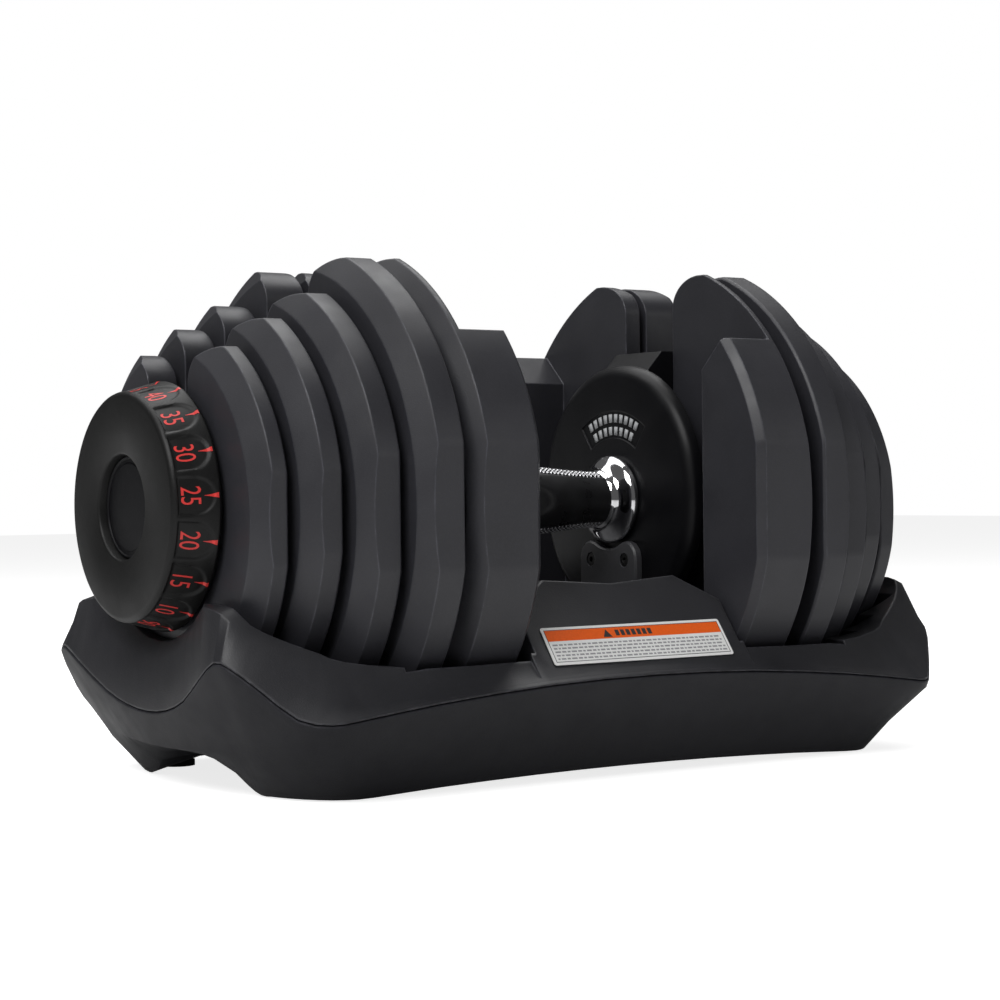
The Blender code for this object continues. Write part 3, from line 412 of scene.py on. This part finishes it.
def plate_body(index, side):
    """A plate: flat sides, a conical bevel round its outer face and the open slot."""
    facts = plate_facts(index)
    x_in, x_out, _, ear_z, _, centre_z, radius = facts
    innermost = index == len(PLATE_ARCS) - 1
    edge = 0.0036 if innermost else 0.0011
    face_r = radius - CONE_WIDE
    turns = plate_turns(facts)

    def ring(inset, depth):
        points = []
        for turn in turns:
            reach = plate_reach(turn, facts, inset)
            points.append((side * depth(reach), reach * math.cos(turn), centre_z + reach * math.sin(turn)))
        return points

    def cone(reach):
        return x_out - CONE_DEEP * max(0.0, reach - face_r) / CONE_WIDE

    face = []
    for turn in turns:
        reach = min(face_r, plate_reach(turn, facts) - 0.0004)
        face.append((side * x_out, reach * math.cos(turn), centre_z + reach * math.sin(turn)))
    back = [ring(edge, lambda r: x_in), ring(0.0, lambda r: x_in + edge)]
    body = loft("plate", [*back, ring(0.0, cone), face])

    lip_z = ear_z - LIP_HIGH
    slot = []
    for k in range(25):
        turn = math.pi * (1 + k / 24)
        slot.append((SLOT_HALF * math.cos(turn), AXIS_Z + SLOT_HALF * math.sin(turn)))
    lip = []
    for k in range(17):
        turn = math.pi - 0.5 * math.pi * k / 16
        y = SLOT_HALF + LIP_WIDE * (1 + math.cos(turn))
        lip.append((y, lip_z + LIP_HIGH * math.sin(turn) + (0.0002 if k == 16 else 0.0)))
    lip.append((SLOT_HALF + LIP_WIDE, ear_z + 0.02))
    slot += lip + [(-y, z) for y, z in reversed(lip)]
    cutter = prism_x("slot", slot, side * (x_in - 0.01), side * (x_out + 0.01))
    combine(body, cutter, "DIFFERENCE")

    if innermost:
        web_x = 0.0920
        block_y, block_top = 0.0775, 0.2090
        relief = [
            (0.150, 0.000), (0.150, 0.040), (block_y, 0.040), (block_y, block_top - 0.015),
            (block_y + 0.0155, block_top), (0.150, block_top), (0.150, 0.290),
        ]
        cutter = prism_x("relief", both_ways(relief), side * (x_in - 0.01), side * web_x)
        combine(body, cutter, "DIFFERENCE")
    tab = [(0.0042, AXIS_Z - 0.0322), (0.0042, AXIS_Z - 0.0280)]
    combine(body, prism_x("tab", both_ways(tab), side * (x_out - 0.001), side * (x_out + TAB_OUT)), "UNION")
    return body


def build_plates():
    for index in range(len(PLATE_ARCS)):
        number = index + 1
        left = plate_body(index, -1.0)
        left.name = f"left_weight_{number}_body"
        shade(left, 22.0)
        right = mirrored(left, f"right_weight_{number}_body")
        for tag, obj in (("left", left), ("right", right)):
            give(obj, f"{tag}_weight_{number}", "plate", f"{tag}_plate_{number}", angle=22.0)


# ---------------------------------------------------------------- dials

RING_PROFILE = (
    (0.1930, 0.0568), (0.1934, 0.0574), (0.1944, 0.0578), (0.1990, 0.05665), (0.2040, 0.0552),
    (0.2090, 0.0539), (0.2122, 0.0530),
)
POCKET_HALF = 0.0084     # half width of the pocket round each number
POCKET_TURN_X = 0.2045   # where the pocket's rounded end begins
POCKET_DEEP = 0.0009
INK_LIFT = 0.00010       # how far the printing stands off the ring
DIGIT_FOOT_X = 0.2108    # where the feet of the numbers stand
DIGIT_HIGH = 0.0088
DIGIT_SQUEEZE = 0.72     # width of the digits against the font's own
DIGIT_R = 0.0545         # ring radius under the digits
POINTER_TIP_X = 0.2006
POINTER_BASE_X = 0.1947
POINTER_R = 0.0565       # ring radius under the pointers


def ring_radius(x, turn):
    """Radius of the numbered ring, with a tongue-shaped pocket at every setting."""
    radius = RING_PROFILE[-1][1]
    for (x0, r0), (x1, r1) in zip(RING_PROFILE, RING_PROFILE[1:]):
        if x <= x1:
            radius = r0 + (r1 - r0) * max(0.0, x - x0) / (x1 - x0)
            break
    local = (turn + STEP / 2) % STEP - STEP / 2
    across = abs(local) * radius
    if x < POCKET_TURN_X:
        across = math.hypot(across, x - POCKET_TURN_X)
    inside = min(1.0, max(0.0, (POCKET_HALF + 0.0005 - across) / 0.0010))
    fade = min(1.0, max(0.0, (0.2124 - x) / 0.0006))
    return radius - POCKET_DEEP * inside * inside * (3 - 2 * inside) * fade


def dial(side, tag):
    """The dial: numbered ring with its pockets, bevelled face, recess and hollow back."""
    per_step = 28
    stations = [0.1930, 0.1934, 0.1944]
    stations += [0.1952 + 0.00062 * k for k in range(28)]
    stations += [0.2127]
    rings = []
    for k in range(SETTINGS * per_step):
        turn = math.tau * k / (SETTINGS * per_step)
        profile = [(x, ring_radius(x, turn)) for x in stations]
        profile += [(0.2136, 0.0526), (0.2144, 0.0518), (0.2149, 0.0508), (0.2150, 0.0502)]
        profile += [(0.2150, 0.0252), (0.2147, 0.0246), (0.2140, 0.0241), (0.2060, 0.0239), (0.2060, 0.0093)]
        profile += [(0.1970, 0.0093), (0.1970, 0.0140), (0.2040, 0.0140), (0.2040, 0.0440), (0.1932, 0.0535)]
        rings.append([around(side * x, r, turn) for x, r in profile])
    body = loft(f"{tag}_dial_body", rings, True, 35.0)
    give(body, f"{tag}_selector", "dial", f"{tag}_dial")

    cap = [
        (0.2063, 0.0092), (0.2063, 0.0236), (0.2106, 0.0236), (0.2111, 0.0231), (0.2111, 0.0226),
        (0.2105, 0.0221), (0.2105, 0.0205), (0.2109, 0.0200), (0.2113, 0.0000), (0.2096, 0.0000),
        (0.2096, 0.0092),
    ]
    give(revolve(f"{tag}_dial_cap_body", cap, 96, side, 32.0), f"{tag}_selector", "cap", f"{tag}_dial_cap")


def digits(text):
    """Triangles of one number, one unit high, as (points, faces)."""
    curve = bpy.data.curves.new("number", "FONT")
    curve.body = text
    curve.align_x = "CENTER"
    curve.resolution_u = 4
    holder = bpy.data.objects.new("number", curve)
    bpy.context.scene.collection.objects.link(holder)
    bpy.context.view_layer.update()
    mesh = bpy.data.meshes.new_from_object(holder.evaluated_get(bpy.context.evaluated_depsgraph_get()))
    bpy.data.objects.remove(holder)
    bpy.data.curves.remove(curve)
    work = bmesh.new()
    work.from_mesh(mesh)
    bpy.data.meshes.remove(mesh)
    bmesh.ops.triangulate(work, faces=work.faces)
    for _ in range(3):
        long = [e for e in work.edges if e.calc_length() > 0.16]
        bmesh.ops.subdivide_edges(work, edges=long, cuts=1)
        bmesh.ops.triangulate(work, faces=work.faces)
    work.verts.index_update()
    points = [v.co.copy() for v in work.verts]
    faces = [tuple(v.index for v in f.verts) for f in work.faces]
    work.free()
    low = min(p.y for p in points)
    high = max(p.y for p in points)
    return [(p.x / (high - low), (p.y - low) / (high - low)) for p in points], faces


def dial_print(side, tag):
    """The numbers and pointers printed round the ring, heads towards the plates."""
    verts, faces = [], []

    def spot(x, turn):
        verts.append(around(side * x, ring_radius(x, turn) + INK_LIFT, turn))

    for setting in range(SETTINGS):
        middle = (REST_SETTING - setting) * STEP
        points, triangles = digits(str(10 + 5 * setting))
        start = len(verts)
        for across, up in points:
            turn = middle - side * across * DIGIT_HIGH * DIGIT_SQUEEZE / DIGIT_R
            spot(DIGIT_FOOT_X - DIGIT_HIGH * up, turn)
        faces += [tuple(start + k for k in face) for face in triangles]
        start = len(verts)
        rows = 6
        for k in range(rows + 1):
            x = POINTER_TIP_X - (POINTER_TIP_X - POINTER_BASE_X) * k / rows
            width = 0.0001 + 0.0011 * (k / rows) ** 1.4
            for across in (-width, width):
                spot(x, middle + across / POINTER_R)
        for k in range(rows):
            a = start + 2 * k
            faces.append((a, a + 1, a + 3, a + 2))
    numbers = mesh_object(f"{tag}_dial_numbers", verts, faces)
    give(numbers, f"{tag}_selector", "red_ink")


# ---------------------------------------------------------------- handle

def guard_outline(inset=0.0, count=112):
    """The egg-shaped outline of a guard."""
    radius = 0.0640 - inset
    points = []
    for k in range(count):
        turn = math.tau * k / count
        y, z = radius * math.cos(turn), radius * math.sin(turn)
        lift = 0.006 * min(1.0, max(0.0, z / 0.02))
        points.append((y, AXIS_Z + z + lift))
    return points


def sector(low, high, r_in, r_out, steps=24):
    """A ring sector in (y, z) round the handle axis, from the top."""
    turns = [low + (high - low) * k / steps for k in range(steps + 1)]
    outer = [(-r_out * math.sin(t), AXIS_Z + r_out * math.cos(t)) for t in turns]
    return outer + [(-r_in * math.sin(t), AXIS_Z + r_in * math.cos(t)) for t in reversed(turns)]


def guard(side, tag):
    """A guard with a rounded rim, its arched panel, the tower and the housing behind."""
    face, back, rear = 0.0670, 0.0764, 0.0834
    levels = (
        (face, 0.0062), (face + 0.0004, 0.0045), (face + 0.0014, 0.0026), (face + 0.0028, 0.0010),
        (face + 0.0045, 0.0), (back - 0.001, 0.0), (back, 0.001),
    )
    body = loft("guard", [[(side * x, y, z) for y, z in guard_outline(inset)] for x, inset in levels])
    housing = [(0.0310, 0.1000), (0.0310, 0.1800), (0.0240, 0.1880)]
    combine(body, prism_x("housing", both_ways(housing), side * (face + 0.003), side * rear), "UNION")
    tower = (
        (face + 0.0036, 0.1850), (face + 0.0036, 0.1915), (0.0850, 0.2070), (0.1005, 0.2070),
        (0.1005, 0.1620), (0.0824, 0.1620), (0.0824, 0.1850),
    )
    ends = [[(side * x, y, z) for x, z in tower] for y in (-0.0194, 0.0194)]
    combine(body, loft("tower", ends), "UNION")
    pocket = [(0.0273, 0.0400), (0.0273, 0.1840)]
    combine(body, prism_x("pocket", both_ways(pocket), side * back, side * 0.0804), "DIFFERENCE")
    wide = math.radians(36)
    floor_x = face + 0.0008
    arch = sector(-wide, wide, 0.0322, 0.0462)
    combine(body, prism_x("panel", arch, side * (face - 0.002), side * floor_x), "DIFFERENCE")
    for radius, depth in ((0.0056, back + 0.001), (0.0094, rear + 0.002)):
        start = face - 0.002 if radius < 0.006 else back - 0.0014
        bore = disc_outline(0.0, AXIS_Z, radius, 48)
        combine(body, prism_x("bore", bore, side * start, side * depth), "DIFFERENCE")
    for y in (-0.0143, 0.0143):
        hole = disc_outline(y, 0.0985, SCREW_HOLE_R, 16)
        combine(body, prism_x("hole", hole, side * (face - 0.002), side * (face + 0.0062)), "DIFFERENCE")
    body.name = f"{tag}_guard_body"
    give(body, "handle", "guard", f"{tag}_guard", angle=32.0)
    panel_marks(side, tag, floor_x)


def panel_marks(side, tag, floor_x):
    """Two rows of short raised bars in the guard's panel."""
    verts, faces = [], []
    x = side * (floor_x - 0.0003)
    for radius, high, count, spread in ((0.0424, 0.0044, 10, 27.0), (0.0358, 0.0044, 8, 25.0)):
        for k in range(count):
            middle = math.radians(-spread + 2 * spread * k / (count - 1))
            half = math.radians(spread) / count * 0.62
            start = len(verts)
            for turn in (middle - half, middle + half):
                for r in (radius - high / 2, radius + high / 2):
                    verts.append(around(x, r, turn))
            faces.append((start, start + 1, start + 3, start + 2))
    marks = mesh_object(f"{tag}_panel_marks", verts, faces)
    thick = marks.modifiers.new("raised", "SOLIDIFY")
    thick.thickness = 0.0005
    thick.offset = 0.0
    give(marks, "handle", "pale_ink")


def collar(side, tag):
    """The domed chrome collar."""
    start, end = 0.0548, 0.0667
    flare_start, flare_end = 0.0562, 0.0650
    profile = [(start, ROD_BORE), (start, 0.0140), (start + 0.0012, 0.0152)]
    for k in range(13):
        t = k / 12
        x = flare_start + (flare_end - flare_start) * t
        profile.append((x, 0.0153 + 0.0077 * (0.5 - 0.5 * math.cos(math.pi * min(1.0, t * 1.08)))))
    profile += [(0.0660, 0.0228), (end, 0.0222), (end, ROD_BORE)]
    give(revolve(f"{tag}_collar_body", profile, 96, side, 40.0), "handle", "chrome", f"{tag}_collar")


GRIP_END = 0.0545
STRIP = math.radians(33)


def grip_radius(x):
    """The barrel shape of the grip."""
    t = min(abs(x) / GRIP_END, 1.0)
    return 0.0145 + 0.0035 * (0.5 + 0.5 * math.cos(math.pi * t))


def grip():
    """Chrome core with two knurled strips, and two rubber inlays."""
    rings = []
    for k in range(49):
        x = GRIP_END * (k - 24) / 24
        radius = grip_radius(x)
        ring = []
        for quarter in range(4):
            sunk = quarter % 2 == 1
            half = math.pi / 2 - STRIP if sunk else STRIP
            for j in range(13):
                turn = quarter * math.pi / 2 - half + 2 * half * j / 12
                r = radius - 0.0026 if sunk else radius - 0.0003
                ring.append(around(x, r, turn))
        rings.append(ring)
    core = loft("grip_core_body", rings)
    bore = disc_outline(0.0, AXIS_Z, ROD_BORE, 32)
    combine(core, prism_x("bore", bore, -0.07, 0.07), "DIFFERENCE")
    give(core, "handle", "chrome", "grip_core", angle=30.0)

    verts, faces = [], []
    rows, columns = 9, 45
    for top in (0.0, math.pi):
        for row in range(rows):
            for column in range(columns):
                x = GRIP_END * 0.965 * (2 * column / (columns - 1) - 1)
                radius = grip_radius(x)
                turn = top + STRIP * 0.93 * (2 * row / (rows - 1) - 1)
                start = len(verts)
                for half, rise in ((0.00088, -0.0004), (0.00046, 0.00022)):
                    for dx, dy in ((-1, -1), (1, -1), (1, 1), (-1, 1)):
                        t = turn + dy * half / radius
                        r = radius + rise
                        verts.append(around(x + dx * half, r, t))
                faces.append(tuple(start + j for j in (4, 5, 6, 7)))
                for j in range(4):
                    after = (j + 1) % 4
                    faces.append((start + j, start + after, start + 4 + after, start + 4 + j))
    give(mesh_object("grip_knurl", verts, faces, 20.0), "handle", "chrome")

    for name, direction in (("front", 1.0), ("rear", -1.0)):
        half = math.pi / 2 - STRIP - math.radians(1.2)
        rings = []
        for k in range(65):
            x = GRIP_END * 0.995 * (k - 32) / 32
            radius = grip_radius(x)
            ring = []
            for j in range(33):
                t = -1 + 2 * j / 32
                turn = direction * math.pi / 2 + half * t
                oval = math.hypot(x / 0.0165, t * half * radius / 0.0085)
                emboss = 0.00045 * min(1.0, max(0.0, (1.0 - oval) / 0.12))
                crown = 0.0004 - 0.0010 * max(0.0, abs(t) - 0.9) / 0.1
                r = radius + crown - emboss
                ring.append(around(x, r, turn))
            for j in range(32, -1, -1):
                turn = direction * math.pi / 2 + half * (-1 + 2 * j / 32)
                r = radius - 0.0023
                ring.append(around(x, r, turn))
            rings.append(ring)
        inlay = loft(f"grip_inlay_{name}", rings, False, 40.0)
        give(inlay, "handle", "grip_rubber", f"grip_rubber_{name}")


# ---------------------------------------------------------------- label

def label():
    """The plain vinyl label: white, with a border, an orange band, a triangle and rows of dashes."""
    slope = 1.327
    along = Vector((0.0, 1.0, slope)).normalized()
    out = Vector((0.0, -slope, 1.0)).normalized()
    start = Vector((0.0, -0.1135, 0.0540)) + 0.0015 * along
    half, high = 0.0530, 0.0205

    def at(x, run, lift):
        return Vector((x, 0.0, 0.0)) + start + run * along + lift * out

    rings = []
    corner = 0.0012
    outline = []
    for cx, cy, base in ((half, 0, -90), (half, high, 0), (-half, high, 90), (-half, 0, 180)):
        ox = cx - math.copysign(corner, cx)
        oy = cy + corner if cy == 0 else cy - corner
        for k in range(5):
            t = math.radians(base + 22.5 * k)
            outline.append((ox + corner * math.cos(t), oy + corner * math.sin(t)))
    for lift in (0.0003, 0.0007):
        rings.append([at(x, run, lift) for x, run in outline])
    give(loft("label_film", rings), "base", "vinyl", "warning_label")

    def patch(name, look, boxes, lift):
        verts, faces = [], []
        for x0, r0, x1, r1 in boxes:
            k = len(verts)
            verts.extend(at(x, run, lift) for x, run in ((x0, r0), (x1, r0), (x1, r1), (x0, r1)))
            faces.append((k, k + 1, k + 2, k + 3))
        return give(mesh_object(name, verts, faces), "base", look)

    edge, line = 0.0014, 0.00030
    x0, x1, r0, r1 = -half + edge, half - edge, edge, high - edge
    frame_lines = [
        (x0, r0, x1, r0 + line), (x0, r1 - line, x1, r1), (x0, r0, x0 + line, r1), (x1 - line, r0, x1, r1),
    ]
    patch("label_border", "ink", frame_lines, 0.00078)
    patch("label_band", "orange", [(x0 + line, r1 - 0.0062, x1 - line, r1 - line)], 0.00075)
    dashes = []
    for row in range(5):
        run = r0 + 0.0013 + 0.0019 * row
        x = x0 + 0.0016
        k = 0
        while x < x1 - 0.0030:
            width = 0.0012 + 0.0019 * ((k * 7 + row * 5) % 11) / 10
            width = min(width, x1 - 0.0014 - x)
            dashes.append((x, run, x + width, run + 0.00085))
            x += width + 0.00075
            k += 1
    patch("label_dashes", "grey_ink", dashes, 0.00078)

    middle, foot, top = -0.0165, r1 - 0.0054, r1 - 0.0012
    sign_lift = 0.00082
    corners = ((middle - 0.0026, foot), (middle + 0.0026, foot), (middle, top))
    verts = [at(x, run, sign_lift) for x, run in corners]
    faces = [(0, 1, 2)]
    bar = ((0, 0.0005), (0.0022, 0.0005), (0.0022, 0.0037), (0, 0.0037))
    for k in range(7):
        x = middle + 0.0050 + 0.0032 * k
        first = len(verts)
        verts.extend(at(x + dx, foot + dr, sign_lift) for dx, dr in bar)
        faces.append(tuple(range(first, first + 4)))
    give(mesh_object("label_sign", verts, faces), "base", "ink")


# ---------------------------------------------------------------- pieces kept from the CAD

KEPT_LOOKS = (
    ("base_tray", "tray"), ("base_shell", "shell"), ("foot_", "foot_rubber"), ("_lock_bracket", "zinc"),
    ("_bracket_screw", "dark_steel"), ("_lock_slide", "steel"), ("_lock_wheel", "steel"),
    ("_lock_spring", "steel"), ("_spindle", "steel"), ("_axle_bolt", "steel"), ("centre_axle", "steel"),
    ("_disc_", "nylon"),
)


def smoothing_group():
    """A modifier that smooths faces and keeps edges over 30 degrees crisp."""
    group = bpy.data.node_groups.new("crisp_smooth", "GeometryNodeTree")
    group.interface.new_socket("Geometry", in_out="INPUT", socket_type="NodeSocketGeometry")
    group.interface.new_socket("Geometry", in_out="OUTPUT", socket_type="NodeSocketGeometry")
    start = group.nodes.new("NodeGroupInput")
    end = group.nodes.new("NodeGroupOutput")
    weld = group.nodes.new("GeometryNodeMergeByDistance")
    weld.inputs["Distance"].default_value = 0.000002
    smooth = group.nodes.new("GeometryNodeSetShadeSmooth")
    crisp = group.nodes.new("GeometryNodeSetShadeSmooth")
    crisp.domain = "EDGE"
    crisp.inputs["Shade Smooth"].default_value = False
    angle = group.nodes.new("GeometryNodeInputMeshEdgeAngle")
    over = group.nodes.new("FunctionNodeCompare")
    over.operation = "GREATER_THAN"
    over.inputs["B"].default_value = math.radians(30)
    link = group.links.new
    link(start.outputs[0], weld.inputs["Geometry"])
    link(weld.outputs["Geometry"], smooth.inputs["Geometry"])
    link(smooth.outputs["Geometry"], crisp.inputs["Geometry"])
    link(angle.outputs["Unsigned Angle"], over.inputs["A"])
    link(over.outputs["Result"], crisp.inputs["Selection"])
    link(crisp.outputs["Geometry"], end.inputs[0])
    return group


def dress_cad_nodes():
    """Give every CAD node that stays its material and crisp smooth shading."""
    group = smoothing_group()
    for name, obj in frame["nodes"].items():
        for part, look in KEPT_LOOKS:
            if part in name:
                obj.data.materials.clear()
                obj.data.materials.append(LOOKS[look])
                modifier = obj.modifiers.new("crisp_smooth", "NODES")
                modifier.node_group = group
                break


# ---------------------------------------------------------------- stage, light, camera

def white_to_camera(tree, lighting, seen):
    """A strength that is low where it lights the object and high where the camera sees the backdrop."""
    path = tree.nodes.new("ShaderNodeLightPath")
    level = tree.nodes.new("ShaderNodeMapRange")
    level.inputs["To Min"].default_value = lighting
    level.inputs["To Max"].default_value = seen
    tree.links.new(path.outputs["Is Camera Ray"], level.inputs["Value"])
    return level.outputs["Result"]


def stage():
    """A plain pale floor under an even white surround."""
    reach = 6.0
    corners = ((-reach, -reach), (reach, -reach), (reach, reach), (-reach, reach))
    floor = mesh_object("floor", [(x, y, -0.0002) for x, y in corners], [(0, 1, 2, 3)])
    mat = bpy.data.materials.new("studio_floor")
    mat.use_nodes = True
    shader = mat.node_tree.nodes["Principled BSDF"]
    shader.inputs["Base Color"].default_value = (0.80, 0.80, 0.80, 1.0)
    shader.inputs["Roughness"].default_value = 0.9
    shader.inputs["Emission Color"].default_value = (1.0, 1.0, 1.0, 1.0)
    seen = white_to_camera(mat.node_tree, 0.03, 0.80)
    mat.node_tree.links.new(seen, shader.inputs["Emission Strength"])
    floor.data.materials.append(mat)


def world():
    made = bpy.data.worlds.new("studio")
    bpy.context.scene.world = made
    made.use_nodes = True
    tree = made.node_tree
    background = tree.nodes["Background"]
    background.inputs["Color"].default_value = (1.0, 1.0, 1.0, 1.0)
    tree.links.new(white_to_camera(tree, 0.10, 1.0), background.inputs["Strength"])


def soft_light(name, place, target, size, power):
    data = bpy.data.lights.new(name, "AREA")
    data.shape = "RECTANGLE"
    data.size, data.size_y = size
    data.energy = power
    obj = bpy.data.objects.new(name, data)
    bpy.context.scene.collection.objects.link(obj)
    obj.location = place
    obj.rotation_euler = (Vector(target) - Vector(place)).to_track_quat("-Z", "Y").to_euler()


def camera():
    """The camera stands front left of the object, a little above its middle."""
    yaw, pitch, roll = (math.radians(a) for a in (34.46, 0.35, -0.68))
    ahead = Vector((math.sin(yaw) * math.cos(pitch), math.cos(yaw) * math.cos(pitch), -math.sin(pitch)))
    right = ahead.cross(Vector((0, 0, 1))).normalized()
    up = right.cross(ahead)
    across = right * math.cos(roll) + up * math.sin(roll)
    above = up * math.cos(roll) - right * math.sin(roll)
    data = bpy.data.cameras.new("camera")
    data.sensor_width = 36.0
    data.lens = 85.06
    obj = bpy.data.objects.new("camera", data)
    bpy.context.scene.collection.objects.link(obj)
    turn = Matrix((across, above, -ahead)).transposed()
    obj.matrix_world = Matrix.Translation((-0.6823, -0.9870, 0.1379)) @ turn.to_4x4()
    bpy.context.scene.camera = obj


# ---------------------------------------------------------------- assembly

build_plates()
for tag, side in SIDES:
    dial(side, tag)
    dial_print(side, tag)
    guard(side, tag)
    collar(side, tag)
grip()
label()
dress_cad_nodes()
stage()
world()
soft_light("key", (-1.7, -0.9, 1.9), (0.0, 0.0, 0.1), (1.3, 1.3), 40.0)
soft_light("overhead", (0.1, 0.55, 1.7), (0.0, 0.0, 0.1), (2.2, 1.4), 26.0)
soft_light("fill", (1.2, -2.2, 0.9), (0.0, 0.0, 0.1), (1.8, 1.2), 6.0)
camera()
bpy.context.scene.view_settings.view_transform = "Standard"
